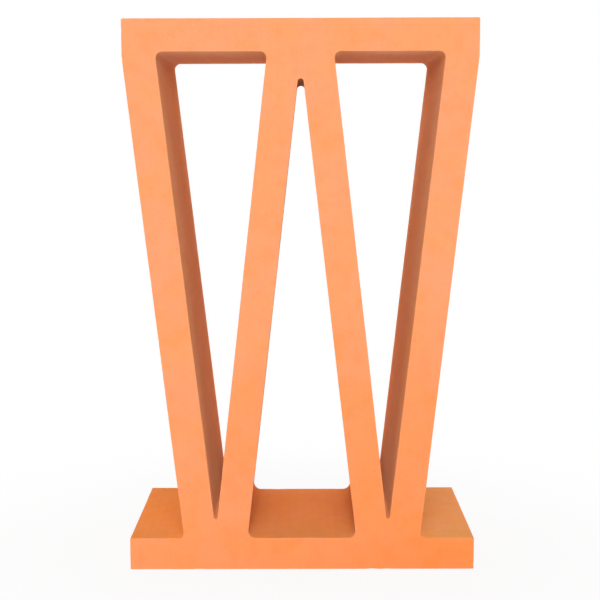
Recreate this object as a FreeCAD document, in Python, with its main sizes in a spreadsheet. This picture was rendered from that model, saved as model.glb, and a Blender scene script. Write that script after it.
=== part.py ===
import FreeCAD, Part
import os
from enum import IntEnum

import Sketcher
from FreeCAD import Vector

# Decorative screen block of fired clay: four leaning legs form a W between a top and a bottom slab.
# The clay is pushed through a die along Y and cut to length with a wire, so the section across Y is
# the same all the way through, and the openings run from the front face to the back face.
# Millimetres, +Z up, origin at the centre of the underside, front towards -Y.

NODE = "screen_block"

SIZES = {
    # the block
    "block_width": 190,
    "block_height": 300,
    "block_depth": 110,
    # the walls, each measured square to its own faces
    "top_slab": 17.5,
    "bottom_slab": 18,
    "leg_wall": 18,
    # height of the top slab's ends, from the top down to where the outer legs lean away
    "slab_end": 20,
    # width of each V where it stands on the bottom slab
    "foot_width": 35.4,
    # roundings that the die gives, along the whole depth
    "side_corner_radius": 3.5,
    "side_tip_radius": 0.9,
    "centre_corner_radius": 3.6,
    "centre_tip_radius": 1.5,
    "ledge_root_radius": 2,
    "slab_corner_radius": 0.8,
    # rounding of the edges that the wire leaves, all round both cut faces
    "arris_radius": 0.6,
}

# A leg's outside leans out by the run while it climbs the rise, from the ledge to the shoulder. The wall
# across is a leg's wall measured level, and the tip climb is how far above the ledge the insides of a
# V's two legs would meet if nothing rounded them.
LEG_RUN = "(Sizes.block_width / 4 - Sizes.foot_width / 2)"
LEG_RISE = "(Sizes.block_height - Sizes.slab_end - Sizes.bottom_slab)"
WALL_ACROSS = f"(Sizes.leg_wall * sqrt(1 + ({LEG_RUN} / {LEG_RISE}) ^ 2))"
TIP_CLIMB = f"(({WALL_ACROSS} - Sizes.foot_width / 2) * {LEG_RISE} / {LEG_RUN})"

# Sketcher's numbers for the two ends of a line, the two axes and the origin, where an axis starts
LineEnd = IntEnum("LineEnd", ["START", "END"])
Axis = IntEnum("Axis", {"HORIZONTAL": -1, "VERTICAL": -2})
ORIGIN = (Axis.HORIZONTAL, LineEnd.START)

SAME_PLACE = 1e-4


def make_sheet(doc):
    """Puts the driving dimensions in a spreadsheet, one alias to a row."""
    sheet = doc.addObject("Spreadsheet::Sheet", "Sizes")
    for row, (alias, size) in enumerate(SIZES.items(), start=1):
        sheet.set(f"A{row}", alias)
        sheet.set(f"B{row}", str(size))
        sheet.setAlias(f"B{row}", alias)
    doc.recompute()
    return sheet


def origin_feature(body, role):
    """The body's own origin plane or axis with that role."""
    return next(feature for feature in body.Origin.OriginFeatures if feature.Role == role)


def hold(sketch, kind, *where):
    """Adds a constraint that has no size."""
    sketch.addConstraint(Sketcher.Constraint(kind, *where))


def draw_loop(sketch, corners):
    """Draws a closed run of lines through named rough places. Gives each corner as its line's start."""
    places = [Vector(x, z, 0) for x, z in corners.values()]
    lines = []
    for here, following in zip(places, places[1:] + places[:1]):
        lines.append(sketch.addGeometry(Part.LineSegment(here, following), False))
    for line, following in zip(lines, lines[1:] + lines[:1]):
        hold(sketch, "Coincident", line, LineEnd.END, following, LineEnd.START)
    return {name: (line, LineEnd.START) for name, line in zip(corners, lines)}


def dimension(sketch, name, expression, kind, here, there):
    """Adds a named dimension between two points, as drawn, and binds it to the sheet."""
    drawn = sketch.getPoint(*there) - sketch.getPoint(*here)
    size = drawn.x if kind == "DistanceX" else drawn.y
    number = sketch.addConstraint(Sketcher.Constraint(kind, *here, *there, size))
    sketch.renameConstraint(number, name)
    sketch.setExpression("Constraints." + name, expression)


def draw_outline(sketch, sheet):
    """Outer outline of the section: bottom slab with its ledges, outer legs, top slab."""
    side = sheet.block_width / 2
    foot = (sheet.block_width / 2 + sheet.foot_width) / 2
    ledge = sheet.bottom_slab
    shoulder = sheet.block_height - sheet.slab_end
    outline = draw_loop(sketch, {
        "base_left": (-side, 0),
        "base_right": (side, 0),
        "ledge_right": (side, ledge),
        "foot_right": (foot, ledge),
        "shoulder_right": (side, shoulder),
        "top_right": (side, sheet.block_height),
        "top_left": (-side, sheet.block_height),
        "shoulder_left": (-side, shoulder),
        "foot_left": (-foot, ledge),
        "ledge_left": (-side, ledge),
    })
    for name in ("base", "ledge", "foot", "shoulder", "top"):
        hold(sketch, "Symmetric", *outline[name + "_left"], *outline[name + "_right"], Axis.VERTICAL)
    hold(sketch, "PointOnObject", *outline["base_right"], Axis.HORIZONTAL)
    for name in ("ledge_right", "shoulder_right", "top_right"):
        hold(sketch, "Vertical", *outline["base_right"], *outline[name])
    hold(sketch, "Horizontal", *outline["ledge_right"], *outline["foot_right"])
    dimension(sketch, "width", "Sizes.block_width",
              "DistanceX", outline["base_left"], outline["base_right"])
    dimension(sketch, "height", "Sizes.block_height",
              "DistanceY", outline["base_right"], outline["top_right"])
    dimension(sketch, "bottom_slab", "Sizes.bottom_slab",
              "DistanceY", outline["base_right"], outline["ledge_right"])
    dimension(sketch, "slab_end", "Sizes.slab_end",
              "DistanceY", outline["shoulder_right"], outline["top_right"])
    dimension(sketch, "foot_outside", "Sizes.block_width / 4 + Sizes.foot_width / 2",
              "DistanceX", ORIGIN, outline["foot_right"])
    return outline


def draw_centre_opening(sketch, sheet, outline):
    """Opening between the inner legs, an upside-down V that stands on the bottom slab.

    Its sides mirror the outer legs' outsides about the middle of each half, so its tip is level with
    the shoulders and each V of the W stands upright on its foot."""
    foot = (sheet.block_width / 2 - sheet.foot_width) / 2
    opening = draw_loop(sketch, {
        "foot_left": (-foot, sheet.bottom_slab),
        "foot_right": (foot, sheet.bottom_slab),
        "tip": (0, sheet.block_height - sheet.slab_end),
    })
    hold(sketch, "Symmetric", *opening["foot_left"], *opening["foot_right"], Axis.VERTICAL)
    hold(sketch, "PointOnObject", *opening["tip"], Axis.VERTICAL)
    hold(sketch, "Horizontal", *opening["tip"], *outline["shoulder_right"])
    hold(sketch, "Horizontal", *opening["foot_right"], *outline["foot_right"])
    dimension(sketch, "foot_inside", "Sizes.block_width / 4 - Sizes.foot_width / 2",
              "DistanceX", ORIGIN, opening["foot_right"])
    return opening


def draw_side_openings(sketch, sheet, outline, centre):
    """The two V openings, inside walls of one thickness: drawn on the right, mirrored to the left."""
    middle = sheet.block_width / 4
    half = middle - sheet.leg_wall
    ceiling = sheet.block_height - sheet.top_slab
    right = draw_loop(sketch, {
        "outer": (middle + half, ceiling),
        "inner": (middle - half, ceiling),
        "tip": (middle, sheet.bottom_slab),
    })
    left = draw_loop(sketch, {
        "outer": (-middle - half, ceiling),
        "inner": (-middle + half, ceiling),
        "tip": (-middle, sheet.bottom_slab),
    })
    outer_leg = outline["foot_right"][0]
    inner_leg = centre["foot_right"][0]
    inner_side = right["inner"][0]
    outer_side = right["tip"][0]
    hold(sketch, "Horizontal", *right["outer"], *right["inner"])
    hold(sketch, "Parallel", outer_side, outer_leg)
    hold(sketch, "Parallel", inner_side, inner_leg)
    dimension(sketch, "top_slab", "Sizes.top_slab",
              "DistanceY", right["outer"], outline["top_right"])
    dimension(sketch, "tip_middle", "Sizes.block_width / 4", "DistanceX", ORIGIN, right["tip"])
    dimension(sketch, "tip_height", f"Sizes.bottom_slab + {TIP_CLIMB}", "DistanceY", ORIGIN, right["tip"])
    for name in right:
        hold(sketch, "Symmetric", *left[name], *right[name], Axis.VERTICAL)
    return left, right


def draw_section(body, sheet):
    """The die's section, on the XZ plane: one outline with three openings in it."""
    sketch = body.newObject("Sketcher::SketchObject", "Section")
    sketch.AttachmentSupport = (origin_feature(body, "XZ_Plane"), [""])
    sketch.MapMode = "FlatFace"
    outline = draw_outline(sketch, sheet)
    centre = draw_centre_opening(sketch, sheet, outline)
    left, right = draw_side_openings(sketch, sheet, outline, centre)
    body.Document.recompute()
    return sketch, {"outline": outline, "centre": centre, "left": left, "right": right}


def pad_section(body, sketch):
    """Pushes the section through the die, as far to the front of the XZ plane as to the back."""
    pad = body.newObject("PartDesign::Pad", "Extrusion")
    pad.Profile = sketch
    pad.SideType = "Symmetric"
    pad.setExpression("Length", "Sizes.block_depth")
    body.Document.recompute()
    return pad


def edges_through(feature, sketch, corners):
    """Names of the edges that run from front to back at the section's given corners."""
    places = [sketch.getPoint(line, end) for line, end in corners]
    names = []
    for number, edge in enumerate(feature.Shape.Edges, start=1):
        box = edge.BoundBox
        if max(box.XLength, box.ZLength) > SAME_PLACE:
            continue
        middle = Vector(box.Center.x, box.Center.z, 0)
        if any(middle.distanceToPoint(place) < SAME_PLACE for place in places):
            names.append(f"Edge{number}")
    if len(names) != len(corners):
        raise RuntimeError(f"{len(names)} edges found at {len(corners)} corners of {feature.Label}")
    return names


def edges_of_cut_faces(feature, half_depth):
    """Names of the edges all round the front and the back face."""
    names = []
    for number, edge in enumerate(feature.Shape.Edges, start=1):
        box = edge.BoundBox
        if box.YLength < SAME_PLACE and abs(abs(box.Center.y) - half_depth) < SAME_PLACE:
            names.append(f"Edge{number}")
    return names


def round_edges(body, name, base, edges, radius):
    """Rounds edges of the base feature with a radius from the sheet."""
    fillet = body.newObject("PartDesign::Fillet", name)
    fillet.Base = (base, edges)
    fillet.setExpression("Radius", "Sizes." + radius)
    body.Document.recompute()
    return fillet


def make_block(doc, sheet):
    """The whole block: section, extrusion, the die's roundings, then the cut faces' arrises."""
    body = doc.addObject("PartDesign::Body", "ScreenBlock")
    body.Label = NODE
    body.Placement = FreeCAD.Placement()
    sketch, loops = draw_section(body, sheet)
    sides = [loops["left"], loops["right"]]
    centre = loops["centre"]
    outline = loops["outline"]
    slab_corners = ("base_left", "base_right", "ledge_left", "ledge_right", "top_left", "top_right")
    die_roundings = [
        ("SideCorners", "side_corner_radius", [v[name] for v in sides for name in ("outer", "inner")]),
        ("SideTips", "side_tip_radius", [v["tip"] for v in sides]),
        ("CentreCorners", "centre_corner_radius", [centre["foot_left"], centre["foot_right"]]),
        ("CentreTip", "centre_tip_radius", [centre["tip"]]),
        ("LedgeRoots", "ledge_root_radius", [outline["foot_left"], outline["foot_right"]]),
        ("SlabCorners", "slab_corner_radius", [outline[name] for name in slab_corners]),
    ]
    feature = pad_section(body, sketch)
    for name, radius, corners in die_roundings:
        edges = edges_through(feature, sketch, corners)
        feature = round_edges(body, name, feature, edges, radius)
    edges = edges_of_cut_faces(feature, sheet.block_depth / 2)
    round_edges(body, "Arrises", feature, edges, "arris_radius")
    return body


def check(doc, body):
    """Stops the build if any object failed or the block isn't one valid solid."""
    for item in doc.Objects:
        if {"Invalid", "Error"} & set(item.State):
            raise RuntimeError(f"{item.Label} failed to build: {item.State}")
    shape = body.Shape
    if shape.isNull() or not shape.isValid() or len(shape.Solids) != 1:
        raise RuntimeError(f"{body.Label} is not one valid solid")


def main():
    doc = FreeCAD.newDocument("ScreenBlock")
    sheet = make_sheet(doc)
    body = make_block(doc, sheet)
    check(doc, body)
    os.makedirs("parts", exist_ok=True)
    body.Shape.exportStep(f"parts/{body.Label}.step")
    box = body.Shape.BoundBox
    print(f"{body.Label}: {box.XLength:.2f} x {box.YLength:.2f} x {box.ZLength:.2f} mm, "
          f"{body.Shape.Volume / 1e6:.4f} litres")


main()
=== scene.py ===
import math
import random

import bmesh
import bpy
import numpy as np
from mathutils import Matrix, Vector, noise
from mathutils.geometry import delaunay_2d_cdt


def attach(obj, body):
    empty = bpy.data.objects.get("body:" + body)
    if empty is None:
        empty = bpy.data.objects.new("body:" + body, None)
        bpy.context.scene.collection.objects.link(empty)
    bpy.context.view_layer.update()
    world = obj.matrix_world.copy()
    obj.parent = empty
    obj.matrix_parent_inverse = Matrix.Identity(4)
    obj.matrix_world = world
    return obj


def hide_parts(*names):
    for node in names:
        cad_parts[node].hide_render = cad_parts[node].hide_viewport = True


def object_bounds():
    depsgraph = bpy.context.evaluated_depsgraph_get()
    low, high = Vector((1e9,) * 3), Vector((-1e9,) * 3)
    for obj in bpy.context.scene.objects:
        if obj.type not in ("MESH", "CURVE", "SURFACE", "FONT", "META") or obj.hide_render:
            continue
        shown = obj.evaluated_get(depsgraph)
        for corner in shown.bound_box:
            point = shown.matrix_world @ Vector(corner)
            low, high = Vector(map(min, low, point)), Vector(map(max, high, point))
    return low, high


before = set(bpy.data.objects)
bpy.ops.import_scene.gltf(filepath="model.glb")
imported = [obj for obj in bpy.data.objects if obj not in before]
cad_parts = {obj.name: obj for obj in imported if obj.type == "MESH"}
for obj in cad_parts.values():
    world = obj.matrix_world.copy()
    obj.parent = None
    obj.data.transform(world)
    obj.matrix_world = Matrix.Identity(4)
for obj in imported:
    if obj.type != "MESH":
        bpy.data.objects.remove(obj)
CAD_LOW, CAD_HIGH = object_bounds()

# A screen block of fired clay, dressed round the solid NODE. All lengths are in metres.
NODE = "screen_block"
MM = 0.001
SEED = 4711

# Reading the solid's section: how close two points are one, the direction in (x, z) along which a loop's
# first point lies lowest, the least sine of a corner, and the least straight run and chord of a round
WELD = 1e-6
LOOP_START = (0.8, 0.6)
CORNER_SINE = 0.01
STRAIGHT_MIN = 5 * MM
CHORD_MIN = 0.02 * MM

# Spacing of the mesh round the section and along the depth
WALL_STEP = 1.3 * MM
ARC_STEPS_PER_TURN = 44
ARC_STEPS_MIN = 4
ARRIS_STEPS = 5
DEPTHS_NEAR_FACE = (2.1 * MM, 2.8 * MM, 3.8 * MM, 5.4 * MM, 8.1 * MM, 12.6 * MM)
DEPTH_STEP = 9.5 * MM

# Spacing on the cut faces, and the points' jitter and their least distance from the edges as shares of it
FACE_STEP = 1.9 * MM
FACE_JITTER = 0.2
FACE_CLEARANCE = 0.6
# Filling a cut face: how many edge points are measured at a time, the kind of triangulation, which fills
# the convex hull, and how close two points are one
EDGE_BATCH = 200
FILL_HULL = 0
FILL_WELD = 1e-9

# Arris left by the cutting wire: its mean radius, how much that wanders, the most it may be, also as a
# share of a round's radius, and the nicks knocked out of it
ARRIS_RADIUS = 0.45 * MM
ARRIS_WANDER = 0.4
ARRIS_WANDER_LENGTH = 9 * MM
ARRIS_MAX = 2 * MM
ARRIS_SHARE = 0.8
NICK_SPACING = 95 * MM
NICK_HALF_LENGTH = (1.5 * MM, 4.5 * MM)
NICK_DEPTH = (0.25 * MM, 0.85 * MM)

# How far the walls of the centre opening stand back at the rear, from nothing at the front
CENTRE_FLARE = 0.8 * MM

# Relief, pressed into the clay and never above the solid's faces: a slow swell, the die's lines along the
# walls and the wire's drag across the cut faces. Lines and drag are drawn out by the inverse of STRETCH.
SWELL_DEPTH = 0.16 * MM
SWELL_LENGTH = 55 * MM
DIE_LINE_DEPTH = 0.06 * MM
DIE_LINE_WIDTH = 3.2 * MM
DRAG_DEPTH = 0.05 * MM
DRAG_WIDTH = 4.5 * MM
STRETCH = 0.06

# Clay: the usual tone of the cut faces, the deeper, darker one low on the right, which is painted shade,
# how far from the corner there it goes, how much that wanders, and how much faster it fades upward
CLAY = (0.87, 0.363, 0.163, 1)
SHADED_CLAY = (0.87, 0.288, 0.078, 1)
SHADE_REACH = (0.0, 0.235)
SHADE_WANDER = 0.16
SHADE_RISE = 1.6
# What the clouds of pink and yellow, the redder blotches and the die's skin on the walls multiply it by
PINKER = (1.0, 1.0, 1.09, 1)
YELLOWER = (1.0, 0.985, 0.92, 1)
REDDER = (1.0, 0.95, 0.86, 1)
SKIN = (0.97, 1.0, 1.06, 1)
# Painted light where an opening is narrow: a paler tone, and the half widths between which it ends
GAP_LIGHT = (0.93, 0.41, 0.2, 1)
GAP_LIGHT_WIDTHS = (0.004, 0.015)
# Slopes, by the upward part of the outward direction, between which a wall becomes an underside or a ledge
LEVEL_FROM = (0.5, 0.9)
# Painted light on the undersides: what an underside's tone is multiplied by to make it lighter
UNDERSIDE_LIGHT = (1.06, 1.15, 1.3, 1)
# Painted light and shade on the bottom slab's ledges: their tones from left to right, the right one
# lighter, the heights between which they end, and the distances from the middle between which one turns
# into the next
LIT_LEDGE_LEFT = (0.9, 0.33, 0.093, 1)
LIT_LEDGE_MIDDLE = (0.86, 0.325, 0.104, 1)
LIT_LEDGE_RIGHT = (0.89, 0.405, 0.142, 1)
LEDGE_HEIGHTS = (0.019, 0.034)
LEDGE_TURN = (0.03, 0.065)

# Patterns in the clay are noise about NOISE_MEAN, given by its scale, detail and roughness
NOISE_MEAN = 0.5
SHADE_NOISE = (14, 2, 0.5)
CLOUD_NOISE = (46, 2, 0.45)
BLOTCH_NOISE = (120, 3, 0.55)
DIE_LINE_NOISE = (330, 3, 0.6)
WIRE_LINE_NOISE = (420, 3, 0.6)
PITTING_NOISE = (1500, 4, 0.65)
# The noise between which yellow turns to pink and blotches come in, and the turn that keeps the slow
# patterns from lining up with the faces
CLOUD_SPAN = (0.32, 0.68)
BLOTCH_SPAN = (0.45, 0.7)
CLOUD_TURN = (0.6, 0.4, 0.5)
# Scales that draw out the lines, and how much the lines lighten and darken the cut faces and the walls
DIE_LINE_SCALES = (1, 0.03, 1)
WIRE_LINE_SCALES = (1, 1, 0.05)
STREAK = (0.05, 0.09)
# Mottling, grain and sand: the noise, its span, and what the colour is multiplied by at the ends of that
GRAIN_LEVELS = (0.97, 1.03)
MOTTLE = ((170, 4, 0.6), (0.25, 0.75), (0.985, 1.015))
GRAIN = ((1100, 3, 0.6), (0.2, 0.8), GRAIN_LEVELS)
SAND = ((3000, 2, 0.5), (0.25, 0.75), (0.95, 1.05))
# Dark specks, light flecks of grog and open pores: the scales of each axis, cells per metre, the channel
# that gives a cell its chance, the chance above which it holds a dot, and the radii where a dot fades
SPECKS = ((1, 1, 1), 300, "Red", 0.88, (0.04, 0.15))
FLECKS = ((1.3, 1.1, 1.2), 330, "Green", 0.84, (0.04, 0.16))
PORES = ((1, 1.2, 1.1), 450, "Blue", 0.8, (0.08, 0.22))
CHANCE_EDGE = 0.02
SPECK_COLOUR, SPECK_STRENGTH = (0.4, 0.1, 0.03, 1), 0.3
FLECK_COLOUR, FLECK_STRENGTH = (0.92, 0.52, 0.31, 1), 0.35
# Painted shade in the open pores: its colour and how much of it
PORE_SHADE_COLOUR, PORE_SHADE_STRENGTH = (0.45, 0.13, 0.04, 1), 0.12
# Bump: the shares of the pitting and of the lines in it, its strength and its depth
PITTING_SHARE = 0.5
LINE_SHARE = 0.7
BUMP_STRENGTH = 0.7
BUMP_DEPTH = 0.16 * MM
# Finish: dull, from the grain's darker to its lighter spots
ROUGHNESS = (0.8, 0.92)
DIFFUSE_ROUGHNESS = 0.6

# Sockets of a mix node: its factor, its two colours and its result
MIX_FACTOR, MIX_FIRST, MIX_SECOND = 0, 6, 7
MIX_RESULT = 2

# Floor: half its side, its colour for the light that falls on it, how much of the shadow is lost to white
# near the block, and the distances between which the rest of it fades out
WHITE = (1, 1, 1, 1)
FLOOR_HALF = 4.0
FLOOR_COLOUR = (0.9, 0.9, 0.9, 1)
SHADOW_WHITENESS = 0.9
SHADOW_FADE = (0.1, 0.3)

# Light from all round, and softboxes: name, azimuth from the front, elevation, width, height, watts
EVEN_LIGHT = 0.18
SOFTBOX_DISTANCE = 2.4
SOFTBOXES = (
    ("front", 0, 5, 0.3, 1.2, 51),
    ("above", 0, 62, 0.3, 1.2, 9),
    ("left", -105, 25, 1.6, 1.6, 15),
    ("right", 105, 25, 1.6, 1.6, 12),
    ("behind", 184.2, 17, 2.4, 1.4, 34),
)

# Camera, measured from the centre of the block's front bottom edge. Angles are in radians.
IMAGE_SIDE = 600
FOCAL_PIXELS = 1338.5
SENSOR_MM = 36.0
CAMERA_PLACE = (1.2 * MM, -718.6 * MM, 232.57 * MM)
PITCH_DOWN = 0.1144
YAW_RIGHT = -0.0026
ROLL = -0.003


def cut_loops(node):
    """The solid's section at mid depth: closed loops of (x, z) points."""
    mesh = bmesh.new()
    mesh.from_mesh(node.data)
    bmesh.ops.remove_doubles(mesh, verts=mesh.verts, dist=WELD)
    middle = (CAD_LOW + CAD_HIGH) / 2
    everything = mesh.verts[:] + mesh.edges[:] + mesh.faces[:]
    bmesh.ops.bisect_plane(
        mesh, geom=everything, plane_co=middle, plane_no=(0, 1, 0), clear_inner=True, clear_outer=True
    )
    bmesh.ops.remove_doubles(mesh, verts=mesh.verts, dist=WELD)
    loops = []
    waiting = set(mesh.verts)
    while waiting:
        here = waiting.pop()
        loop = [here]
        while True:
            onward = [e.other_vert(here) for e in here.link_edges]
            onward = [v for v in onward if v in waiting]
            if not onward:
                break
            here = onward[0]
            waiting.remove(here)
            loop.append(here)
        loops.append(np.array([(v.co.x, v.co.z) for v in loop]))
    mesh.free()
    return loops


def signed_area(loop):
    """Area of a loop, negative where it runs clockwise as seen from the front."""
    x, z = loop.T
    return 0.5 * np.sum(x * np.roll(z, -1) - z * np.roll(x, -1))


def in_order(loop, clockwise):
    """The loop's points the given way round, from a start that is the same in each run."""
    if (signed_area(loop) < 0) != clockwise:
        loop = loop[::-1]
    start = np.argmin(loop @ LOOP_START)
    return np.roll(loop, -start, axis=0)


def drop_points_in_line(loop):
    """Leaves out the points where the loop goes straight on."""
    before = loop - np.roll(loop, 1, axis=0)
    after = np.roll(loop, -1, axis=0) - loop
    before /= np.linalg.norm(before, axis=1)[:, None]
    after /= np.linalg.norm(after, axis=1)[:, None]
    turn = before[:, 0] * after[:, 1] - before[:, 1] * after[:, 0]
    return loop[np.abs(turn) > CORNER_SINE]


def straight_runs(loop):
    """The loop's long straight edges, in order, as (start, end). What lies between them is rounding."""
    ends = np.roll(loop, -1, axis=0)
    return [(a, b) for a, b in zip(loop, ends) if np.linalg.norm(b - a) > STRAIGHT_MIN]


def arc_between(first, second):
    """Points of the round between two straight runs, without its ends, and its radius.

    The radius is negative where the clay is on the round's outside, and None where the runs meet."""
    (a, b), (c, d) = first, second
    along = (b - a) / np.linalg.norm(b - a)
    onward = (d - c) / np.linalg.norm(d - c)
    turn = math.atan2(along[0] * onward[1] - along[1] * onward[0], along @ onward)
    chord = np.linalg.norm(c - b)
    if chord < CHORD_MIN:
        return np.empty((0, 2)), None
    radius = chord / (2 * math.sin(turn / 2))
    inward = np.array((-along[1], along[0]))
    centre = b + radius * inward
    count = max(ARC_STEPS_MIN, math.ceil(abs(turn) / math.tau * ARC_STEPS_PER_TURN))
    angles = np.linspace(0, turn, count + 1)[1:-1]
    spoke = b - centre
    cos, sin = np.cos(angles), np.sin(angles)
    points = np.stack((spoke[0] * cos - spoke[1] * sin, spoke[0] * sin + spoke[1] * cos), axis=1)
    return centre + points, radius


def smooth_loop(loop):
    """The loop again, evenly spaced on its straight runs and truly round between them.

    Gives the points, their outward normals and, for each, how far its arris may be cut back."""
    runs = straight_runs(loop)
    points, limits = [], []
    for run, following in zip(runs, runs[1:] + runs[:1]):
        start, end = run
        count = math.ceil(np.linalg.norm(end - start) / WALL_STEP)
        straight = start + (end - start) * np.linspace(0, 1, count + 1)[:, None]
        arc, radius = arc_between(run, following)
        if radius is None:
            straight = straight[:-1]
        room = ARRIS_SHARE * radius if radius is not None and radius > 0 else ARRIS_MAX
        points += [straight, arc]
        limits += [np.full(len(straight), ARRIS_MAX), np.full(len(arc), room)]
    points = np.concatenate(points)
    limits = np.concatenate(limits)
    tangent = np.roll(points, -1, axis=0) - np.roll(points, 1, axis=0)
    tangent /= np.linalg.norm(tangent, axis=1)[:, None]
    normals = np.stack((tangent[:, 1], -tangent[:, 0]), axis=1)
    near = np.minimum(np.roll(limits, 1), np.roll(limits, -1))
    return points, normals, np.minimum(limits, near)


def along_loop(points):
    """Distance of each point along its loop, and the loop's length."""
    steps = np.linalg.norm(np.roll(points, -1, axis=0) - points, axis=1)
    return np.concatenate(((0,), np.cumsum(steps)[:-1])), steps.sum()


def noise_at(places):
    """Smooth noise from -1 to 1 at each row of an array of places."""
    return np.array([noise.noise(Vector(p)) for p in places])


def depth_at(places):
    """Smooth noise from 0 to 1 at each row of an array of places."""
    return 0.5 + 0.5 * noise_at(places)


def arris_radii(points, limits, offset, rng):
    """Radius of the arris at each point of a loop: uneven, with a nick here and there."""
    s, length = along_loop(points)
    places = np.stack((points[:, 0], np.full(len(points), offset), points[:, 1]), axis=1)
    radii = ARRIS_RADIUS * (1 + ARRIS_WANDER * noise_at(places / ARRIS_WANDER_LENGTH))
    for _ in range(max(1, round(length / NICK_SPACING))):
        middle = rng.uniform(0, length)
        half = rng.uniform(*NICK_HALF_LENGTH)
        depth = rng.uniform(*NICK_DEPTH)
        away = np.abs((s - middle + length / 2) % length - length / 2) / half
        radii += depth * np.where(away < 1, (1 - away**2) ** 2, 0)
    return np.minimum(radii, limits)


def ring_depths(depth):
    """Distances from the front face at which the walls get a ring of points."""
    near = list(DEPTHS_NEAR_FACE)
    span = depth - 2 * near[-1]
    count = round(span / DEPTH_STEP)
    middle = [near[-1] + span * i / count for i in range(1, count)]
    return near + middle + [depth - d for d in reversed(near)]


class Skin:
    """Points and faces of the block's surface. Each point has its outward direction, and cut, which is 1
    on a cut face and 0 on a wall."""

    def __init__(self):
        self.points = []
        self.normals = []
        self.cut = []
        self.faces = []

    def add(self, points, normals, cut):
        """Adds points and gives their numbers."""
        start = len(self.points)
        self.points += [tuple(p) for p in points]
        self.normals += [tuple(n) for n in normals]
        self.cut += list(cut)
        return np.arange(start, start + len(points))

    def bridge(self, here, there):
        """Quads between two rings of a loop, the first one nearer to the front."""
        for a, b, c, d in zip(here, there, np.roll(there, -1), np.roll(here, -1)):
            self.faces.append((a, b, c, d))


def add_walls(skin, loop, flare, rng):
    """Walls of one loop with both arrises. Gives its rings of points on the front and back face.

    The walls stand back evenly, from nothing at the front to the flare at the rear."""
    points, normals, limits = smooth_loop(loop)
    low, high = CAD_LOW.y, CAD_HIGH.y
    flat = np.zeros(len(points))
    around = np.stack((normals[:, 0], flat, normals[:, 1]), axis=1)

    def ring_at(y, back):
        """Points of the loop at these depths, set this far back into the clay."""
        back = back + flare * (y - low) / (high - low)
        place = points - normals * back[:, None]
        return np.stack((place[:, 0], y, place[:, 1]), axis=1)

    def arris(face, inward):
        """Rings of one arris, from the face to the wall."""
        radii = arris_radii(points, limits, face, rng)
        rings = []
        for step in range(ARRIS_STEPS + 1):
            angle = math.pi / 2 * (1 - step / ARRIS_STEPS)
            back = radii * (1 - math.cos(angle))
            deep = radii * (1 - math.sin(angle))
            facing = around * math.cos(angle) - np.array((0, inward, 0)) * math.sin(angle)
            rings.append(skin.add(ring_at(face + inward * deep, back), facing, flat + math.sin(angle)))
        return rings

    front = arris(low, 1)
    rear = arris(high, -1)
    rings = list(front)
    for depth in ring_depths(high - low):
        rings.append(skin.add(ring_at(flat + low + depth, flat), around, flat))
    rings += reversed(rear)
    for here, there in zip(rings, rings[1:]):
        skin.bridge(here, there)
    return front[0], rear[0]


def inside(places, loops):
    """Which places lie in the clay of the section, by crossing its loops an odd number of times."""
    odd = np.zeros(len(places), bool)
    x, z = places.T
    for loop in loops:
        for (x0, z0), (x1, z1) in zip(loop, np.roll(loop, -1, axis=0)):
            if z0 == z1:
                continue
            crosses = (z0 > z) != (z1 > z)
            odd ^= crosses & (x < (x1 - x0) * (z - z0) / (z1 - z0) + x0)
    return odd


def face_grid(loops, rng):
    """Places for points inside a cut face, in jittered rows, clear of its edges."""
    row_step = FACE_STEP * math.sqrt(3) / 2
    rows = np.arange(CAD_LOW.z, CAD_HIGH.z, row_step)
    places = []
    for number, z in enumerate(rows):
        shift = FACE_STEP / 2 * (number % 2)
        for x in np.arange(CAD_LOW.x + shift, CAD_HIGH.x, FACE_STEP):
            across = rng.uniform(-FACE_JITTER, FACE_JITTER) * FACE_STEP
            up = rng.uniform(-FACE_JITTER, FACE_JITTER) * FACE_STEP
            places.append((x + across, z + up))
    places = np.array(places)
    places = places[inside(places, loops)]
    edges = np.concatenate(loops)
    clear = np.full(len(places), np.inf)
    for start in range(0, len(edges), EDGE_BATCH):
        gap = places[:, None] - edges[None, start:start + EDGE_BATCH]
        clear = np.minimum(clear, np.linalg.norm(gap, axis=2).min(axis=1))
    return places[clear > FACE_CLEARANCE * FACE_STEP]


def add_cut_face(skin, rings, face, outward, rng):
    """Fills a cut face between its loops' rings."""
    every = np.array(skin.points)
    loops = [every[ring][:, (0, 2)] for ring in rings]
    grid = face_grid(loops, rng)
    depth = np.full(len(grid), face)
    added = skin.add(
        np.stack((grid[:, 0], depth, grid[:, 1]), axis=1),
        np.tile((0, outward, 0), (len(grid), 1)),
        np.ones(len(grid)),
    )
    places = [Vector(p) for loop in loops for p in loop] + [Vector(p) for p in grid]
    names = np.concatenate([*rings, added])
    edges = []
    start = 0
    for loop in loops:
        count = len(loop)
        edges += [(start + i, start + (i + 1) % count) for i in range(count)]
        start += count
    made = delaunay_2d_cdt(places, edges, [], FILL_HULL, FILL_WELD)
    corners, triangles, origins = np.array(made[0]), np.array(made[2]), made[3]
    middles = corners[triangles].mean(axis=1)
    keep = inside(middles, loops)
    for triangle in triangles[keep]:
        a, b, c = (int(names[origins[corner][0]]) for corner in triangle)
        skin.faces.append((a, b, c) if outward < 0 else (a, c, b))


def press_relief(skin):
    """The skin's points with the relief pressed into them, against their outward directions."""
    points = np.array(skin.points)
    normals = np.array(skin.normals)
    normals /= np.linalg.norm(normals, axis=1)[:, None]
    cut = np.array(skin.cut)
    swell = depth_at(points / SWELL_LENGTH)
    along_depth = np.array((1, STRETCH, 1)) / DIE_LINE_WIDTH
    die_lines = depth_at(points * along_depth)
    along_height = np.array((1, 1, STRETCH)) / DRAG_WIDTH
    drag = depth_at(points * along_height)
    depth = SWELL_DEPTH * swell + DIE_LINE_DEPTH * die_lines * (1 - cut) + DRAG_DEPTH * drag * cut
    return points - normals * depth[:, None]


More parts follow.
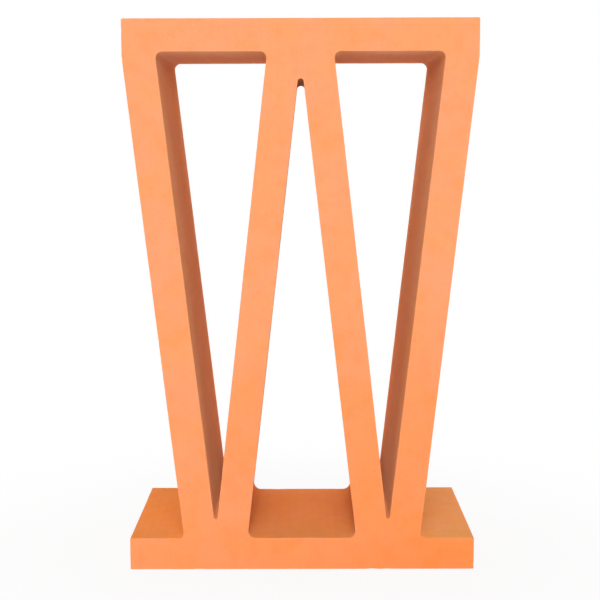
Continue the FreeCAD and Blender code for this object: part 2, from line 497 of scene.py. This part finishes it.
def make_block():
    """The block's whole surface as one closed mesh."""
    rng = random.Random(SEED)
    loops = [drop_points_in_line(loop) for loop in cut_loops(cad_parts[NODE])]
    loops.sort(key=lambda loop: abs(signed_area(loop)))
    outline = in_order(loops.pop(), clockwise=False)
    loops.sort(key=lambda loop: loop[:, 0].mean())
    left, centre, right = (in_order(loop, clockwise=True) for loop in loops)
    skin = Skin()
    rings = [add_walls(skin, loop, 0.0, rng) for loop in (outline, left, right)]
    rings.append(add_walls(skin, centre, CENTRE_FLARE, rng))
    add_cut_face(skin, [front for front, rear in rings], CAD_LOW.y, -1, rng)
    add_cut_face(skin, [rear for front, rear in rings], CAD_HIGH.y, 1, rng)
    mesh = bpy.data.meshes.new("block_clay")
    mesh.from_pydata(press_relief(skin), [], skin.faces)
    mesh.shade_smooth()
    cut = mesh.attributes.new("cut_face", "FLOAT", "POINT")
    cut.data.foreach_set("value", np.array(skin.cut, np.float32))
    block = bpy.data.objects.new("block_clay", mesh)
    bpy.context.scene.collection.objects.link(block)
    return block


class Nodes:
    """Short hand for building a node tree."""

    def __init__(self, tree):
        self.tree = tree
        tree.nodes.clear()

    def add(self, kind, inputs=None, **settings):
        """Adds a node. Inputs are values, or the output sockets to link to them."""
        node = self.tree.nodes.new(kind)
        for name, value in settings.items():
            setattr(node, name, value)
        for name, value in (inputs or {}).items():
            if isinstance(value, bpy.types.NodeSocket):
                self.tree.links.new(value, node.inputs[name])
            else:
                node.inputs[name].default_value = value
        return node

    def math(self, operation, *values):
        """The result of a math node."""
        return self.add("ShaderNodeMath", dict(enumerate(values)), operation=operation).outputs[0]

    def noise(self, place, scale, detail, roughness):
        """Noise from 0 to 1, with features of about 1 / scale metres."""
        inputs = {"Vector": place, "Scale": scale, "Detail": detail, "Roughness": roughness}
        return self.add("ShaderNodeTexNoise", inputs).outputs["Fac"]

    def swing(self, value, size):
        """How far a noise is from its mean, times a size."""
        return self.math("MULTIPLY", self.math("SUBTRACT", value, NOISE_MEAN), size)

    def scaled(self, place, scales):
        """The place with each axis scaled by itself."""
        return self.add("ShaderNodeMapping", {"Vector": place, "Scale": scales}).outputs["Vector"]

    def remap(self, value, low, high, to_low=0.0, to_high=1.0, smooth=True):
        """The value moved from one range to another, and kept within that."""
        inputs = {"Value": value, "From Min": low, "From Max": high, "To Min": to_low, "To Max": to_high}
        kind = "SMOOTHSTEP" if smooth else "LINEAR"
        return self.add("ShaderNodeMapRange", inputs, interpolation_type=kind).outputs["Result"]

    def levels(self, place, pattern, span, ends):
        """Noise of a pattern, moved evenly from its span to these ends."""
        return self.remap(self.noise(place, *pattern), *span, *ends, smooth=False)

    def dots(self, place, scales, cells, channel, share, radii):
        """Round dots from 0 to 1, in the cells whose own random value is above the share."""
        cell = self.add("ShaderNodeTexVoronoi", {"Vector": self.scaled(place, scales), "Scale": cells})
        chance = self.add("ShaderNodeSeparateColor", {0: cell.outputs["Color"]}).outputs[channel]
        chosen = self.remap(chance, share, share + CHANCE_EDGE)
        return self.math("MULTIPLY", self.remap(cell.outputs["Distance"], *radii, 1.0, 0.0), chosen)

    def mix(self, factor, first, second, blend="MIX"):
        """Mixes two colours."""
        inputs = {MIX_FACTOR: factor, MIX_FIRST: first, MIX_SECOND: second}
        node = self.add("ShaderNodeMix", inputs, data_type="RGBA", blend_type=blend)
        return node.outputs[MIX_RESULT]


def terracotta():
    """Unglazed orange clay: mottling, specks, lines from the die and the wire, and painted light and
    shade.
    """
    material = bpy.data.materials.new("terracotta")
    material.use_nodes = True
    n = Nodes(material.node_tree)
    place = n.add("ShaderNodeTexCoord").outputs["Object"]
    cut = n.add("ShaderNodeAttribute", attribute_name="cut_face").outputs["Fac"]
    wall = n.math("SUBTRACT", 1.0, cut)
    x, _, z = n.add("ShaderNodeSeparateXYZ", {0: place}).outputs
    outward = n.add("ShaderNodeNewGeometry").outputs["Normal"]
    upward = n.add("ShaderNodeSeparateXYZ", {0: outward}).outputs["Z"]
    downward = n.math("MULTIPLY", upward, -1.0)

    # Painted shade: deeper and darker low on the right
    section = n.scaled(place, (1, 0, SHADE_RISE))
    corner = n.add("ShaderNodeVectorMath", {0: section, 1: (CAD_HIGH.x, 0, 0)}, operation="DISTANCE")
    uneven = n.swing(n.noise(place, *SHADE_NOISE), SHADE_WANDER)
    away = n.math("ADD", corner.outputs["Value"], uneven)
    tone = n.mix(n.remap(away, *SHADE_REACH, 1.0, 0.0, smooth=False), CLAY, SHADED_CLAY)

    # Tones of the walls and ledges, with painted light and shade
    side = n.math("ABSOLUTE", x)
    # Painted light: a paler tone where an opening is narrow and its walls would be in shade
    half_gap = n.math("MINIMUM", side, n.math("ABSOLUTE", n.math("SUBTRACT", side, CAD_HIGH.x / 2)))
    upright = n.remap(n.math("ABSOLUTE", upward), *LEVEL_FROM, 1.0, 0.0)
    narrow = n.math("MULTIPLY", n.remap(half_gap, *GAP_LIGHT_WIDTHS, 1.0, 0.0), upright)
    skin = n.mix(narrow, n.mix(1.0, tone, SKIN, "MULTIPLY"), GAP_LIGHT)
    # Painted light: the undersides made lighter
    skin = n.mix(n.remap(downward, *LEVEL_FROM), skin, n.mix(1.0, skin, UNDERSIDE_LIGHT, "MULTIPLY"))
    # Painted light and shade: the ledges' tones, the right one lighter
    ledge = n.mix(n.remap(x, *LEDGE_TURN), LIT_LEDGE_MIDDLE, LIT_LEDGE_RIGHT)
    ledge = n.mix(n.remap(n.math("MULTIPLY", x, -1.0), *LEDGE_TURN), ledge, LIT_LEDGE_LEFT)
    low_down = n.remap(z, *LEDGE_HEIGHTS, 1.0, 0.0)
    skin = n.mix(n.math("MULTIPLY", n.remap(upward, *LEVEL_FROM), low_down), skin, ledge)
    tone = n.mix(cut, skin, tone)

    # Slow clouds of pink and yellow, and redder blotches
    turned = n.add("ShaderNodeMapping", {"Vector": place, "Rotation": CLOUD_TURN}).outputs["Vector"]
    cloud = n.mix(n.remap(n.noise(turned, *CLOUD_NOISE), *CLOUD_SPAN), YELLOWER, PINKER)
    tone = n.mix(1.0, tone, cloud, "MULTIPLY")
    blotch = n.remap(n.noise(turned, *BLOTCH_NOISE), *BLOTCH_SPAN)
    tone = n.mix(blotch, tone, n.mix(1.0, tone, REDDER, "MULTIPLY"))

    # Lines that the die leaves along the walls, and the wire across the cut faces
    die_lines = n.noise(n.scaled(place, DIE_LINE_SCALES), *DIE_LINE_NOISE)
    wire_lines = n.noise(n.scaled(place, WIRE_LINE_SCALES), *WIRE_LINE_NOISE)
    lines = n.math("ADD", n.math("MULTIPLY", die_lines, wall), n.math("MULTIPLY", wire_lines, cut))
    streak = n.swing(lines, n.remap(wall, 0.0, 1.0, *STREAK))

    # Mottling, grain and sand
    grain = n.levels(place, *GRAIN)
    level = n.math("MULTIPLY", n.levels(turned, *MOTTLE), grain)
    level = n.math("MULTIPLY", level, n.levels(place, *SAND))
    colour = n.mix(1.0, tone, n.math("ADD", level, streak), "MULTIPLY")

    # Specks, flecks, and painted shade in the pores
    speck = n.dots(place, *SPECKS)
    colour = n.mix(n.math("MULTIPLY", speck, SPECK_STRENGTH), colour, SPECK_COLOUR)
    fleck = n.dots(place, *FLECKS)
    colour = n.mix(n.math("MULTIPLY", fleck, FLECK_STRENGTH), colour, FLECK_COLOUR)
    pore = n.dots(place, *PORES)
    colour = n.mix(n.math("MULTIPLY", pore, PORE_SHADE_STRENGTH), colour, PORE_SHADE_COLOUR)

    relief = n.math("MULTIPLY", n.noise(place, *PITTING_NOISE), PITTING_SHARE)
    relief = n.math("SUBTRACT", n.math("ADD", relief, n.math("MULTIPLY", lines, LINE_SHARE)), pore)
    bump = n.add("ShaderNodeBump", {"Height": relief, "Strength": BUMP_STRENGTH, "Distance": BUMP_DEPTH})
    shader = n.add("ShaderNodeBsdfPrincipled", {
        "Base Color": colour,
        "Roughness": n.remap(grain, *GRAIN_LEVELS, *ROUGHNESS, smooth=False),
        "Specular IOR Level": 0.0,
        "Diffuse Roughness": DIFFUSE_ROUGHNESS,
        "Normal": bump.outputs["Normal"],
    })
    n.add("ShaderNodeOutputMaterial", {"Surface": shader.outputs[0]})
    return material


def seen_directly(n):
    """1 for a ray from the camera, a mirror or glass, 0 for a ray of light that falls on the block."""
    rays = n.add("ShaderNodeLightPath").outputs
    seen = n.math("MAXIMUM", rays["Is Camera Ray"], rays["Is Glossy Ray"])
    return n.math("MAXIMUM", seen, rays["Is Transmission Ray"])


def floor_material():
    """Pale floor that shows white, with the block's soft shadow near its foot."""
    material = bpy.data.materials.new("floor")
    material.use_nodes = True
    n = Nodes(material.node_tree)
    place = n.add("ShaderNodeTexCoord").outputs["Object"]
    away = n.add("ShaderNodeVectorMath", {0: place}, operation="LENGTH").outputs["Value"]
    white = n.add("ShaderNodeEmission", {"Color": WHITE, "Strength": 1.0})
    matte = n.add("ShaderNodeBsdfDiffuse", {"Color": FLOOR_COLOUR})
    share = n.math("MULTIPLY", seen_directly(n), n.remap(away, *SHADOW_FADE, SHADOW_WHITENESS, 1.0))
    mixed = n.add("ShaderNodeMixShader", {0: share, 1: matte.outputs[0], 2: white.outputs[0]})
    n.add("ShaderNodeOutputMaterial", {"Surface": mixed.outputs[0]})
    return material


def make_floor():
    """Square floor under the block."""
    half = FLOOR_HALF
    mesh = bpy.data.meshes.new("floor")
    corners = [(-half, -half, 0), (half, -half, 0), (half, half, 0), (-half, half, 0)]
    mesh.from_pydata(corners, [], [(0, 1, 2, 3)])
    mesh.materials.append(floor_material())
    floor = bpy.data.objects.new("floor", mesh)
    floor.location.z = CAD_LOW.z
    bpy.context.scene.collection.objects.link(floor)


def make_world():
    """Even pale light from all round, white where the camera sees it."""
    world = bpy.data.worlds.new("studio")
    world.use_nodes = True
    n = Nodes(world.node_tree)
    level = n.remap(seen_directly(n), 0.0, 1.0, EVEN_LIGHT, 1.0, smooth=False)
    sky = n.add("ShaderNodeBackground", {"Color": WHITE, "Strength": level})
    n.add("ShaderNodeOutputWorld", {"Surface": sky.outputs[0]})
    bpy.context.scene.world = world


def make_softbox(name, azimuth, elevation, width, height, power):
    """Area light, turned towards the block. Angles are in degrees, from the front and the floor."""
    lamp = bpy.data.lights.new(name, "AREA")
    lamp.shape = "RECTANGLE"
    lamp.size = width
    lamp.size_y = height
    lamp.energy = power
    around, up = math.radians(azimuth), math.radians(elevation)
    away = Vector((math.sin(around) * math.cos(up), -math.cos(around) * math.cos(up), math.sin(up)))
    softbox = bpy.data.objects.new(name, lamp)
    softbox.location = (CAD_LOW + CAD_HIGH) / 2 + SOFTBOX_DISTANCE * away
    softbox.rotation_euler = away.to_track_quat("Z", "Y").to_euler()
    bpy.context.scene.collection.objects.link(softbox)


def make_camera():
    """Camera at the photo's place and angle, with its field of view."""
    data = bpy.data.cameras.new("camera")
    data.sensor_width = SENSOR_MM
    data.lens = FOCAL_PIXELS / IMAGE_SIDE * SENSOR_MM
    camera = bpy.data.objects.new("camera", data)
    level = math.cos(PITCH_DOWN)
    forward = Vector((math.sin(YAW_RIGHT) * level, math.cos(YAW_RIGHT) * level, -math.sin(PITCH_DOWN)))
    right = Vector((math.cos(YAW_RIGHT), -math.sin(YAW_RIGHT), 0))
    up = right.cross(forward)
    right_rolled = math.cos(ROLL) * right + math.sin(ROLL) * up
    up_rolled = math.cos(ROLL) * up - math.sin(ROLL) * right
    turn = Matrix((right_rolled, up_rolled, -forward)).transposed()
    place = Vector((0, CAD_LOW.y, 0)) + Vector(CAMERA_PLACE)
    camera.matrix_world = Matrix.LocRotScale(place, turn, None)
    bpy.context.scene.collection.objects.link(camera)
    bpy.context.scene.camera = camera


block = make_block()
block.data.materials.append(terracotta())
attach(block, "root")
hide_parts(NODE)

make_floor()
make_world()
for softbox in SOFTBOXES:
    make_softbox(*softbox)
make_camera()
bpy.context.scene.view_settings.view_transform = "Standard"
